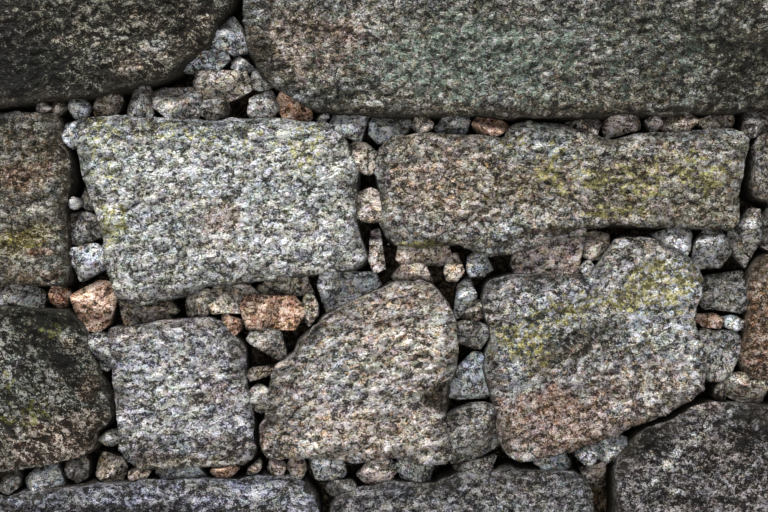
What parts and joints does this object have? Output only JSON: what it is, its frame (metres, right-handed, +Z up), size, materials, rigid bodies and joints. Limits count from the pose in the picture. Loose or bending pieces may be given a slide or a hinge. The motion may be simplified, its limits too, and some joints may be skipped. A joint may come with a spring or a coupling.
{
  "type": "granite masonry wall",
  "caption": "Free-standing stretch of dry-laid granite rubble wall: large through-blocks with small pinnings wedged in the joints.",
  "frame": {"origin": "on the ground under the middle of the wall", "axes": "+X along the wall, to the right as its pictured face is seen; +Y through the wall from that face to the back; +Z up"},
  "size_m": [2.136, 0.45, 1.414],
  "materials": {
    "packing_rubble": "dark earth-stained rubble",
    "base_left_granite": "blue-grey granite",
    "base_long_granite": "blue-grey granite",
    "base_middle_granite": "dark grey granite",
    "base_right_granite": "dark grey granite with pale spots",
    "pinning_granite": "broken granite, grey to orange",
    "lower_deep_granite": "grey granite with yellow lichen and a dark stain",
    "lower_left_granite": "mossed dark granite",
    "lower_right_granite": "rusty orange-brown granite",
    "lower_sloping_granite": "pink-tan granite",
    "lower_square_granite": "speckled grey-white granite",
    "top_left_granite": "dark olive granite, mossed",
    "top_middle_granite": "grey-green granite with lichen",
    "top_right_granite": "dark granite",
    "upper_left_granite": "brown granite, olive below",
    "upper_long_granite": "tan granite with flat layers",
    "upper_right_granite": "grey-tan granite",
    "upper_square_granite": "pale grey granite with yellow lichen"
  },
  "bodies": {
    "root": {"base_joint_packing": "packing_rubble", "base_left_block": "base_left_granite", "base_long_block": "base_long_granite", "base_middle_block": "base_middle_granite", "base_right_block": "base_right_granite", "high_bed_packing": "packing_rubble", "high_bed_pinnings_back": "pinning_granite", "high_bed_pinnings_front": "pinning_granite", "low_bed_packing": "packing_rubble", "low_bed_pinnings_back": "pinning_granite", "low_bed_pinnings_front": "pinning_granite", "lower_deep_block": "lower_deep_granite", "lower_deep_joint_pinnings_back": "pinning_granite", "lower_deep_joint_pinnings_front": "pinning_granite", "lower_joint_packing": "packing_rubble", "lower_left_block": "lower_left_granite", "lower_left_joint_pinnings_back": "pinning_granite", "lower_left_joint_pinnings_front": "pinning_granite", "lower_right_block": "lower_right_granite", "lower_sloping_block": "lower_sloping_granite", "lower_sloping_joint_pinnings_back": "pinning_granite", "lower_sloping_joint_pinnings_front": "pinning_granite", "lower_square_block": "lower_square_granite", "lower_square_joint_pinnings_back": "pinning_granite", "lower_square_joint_pinnings_front": "pinning_granite", "middle_bed_packing": "packing_rubble", "middle_bed_pinnings_back": "pinning_granite", "middle_bed_pinnings_front": "pinning_granite", "top_joint_packing": "packing_rubble", "top_left_block": "top_left_granite", "top_left_joint_pinnings_back": "pinning_granite", "top_left_joint_pinnings_front": "pinning_granite", "top_middle_block": "top_middle_granite", "top_right_block": "top_right_granite", "upper_joint_packing": "packing_rubble", "upper_left_block": "upper_left_granite", "upper_left_joint_pinnings_back": "pinning_granite", "upper_left_joint_pinnings_front": "pinning_granite", "upper_long_block": "upper_long_granite", "upper_right_block": "upper_right_granite", "upper_square_block": "upper_square_granite", "upper_square_joint_pinnings_back": "pinning_granite", "upper_square_joint_pinnings_front": "pinning_granite"}
  },
  "joints": []
}
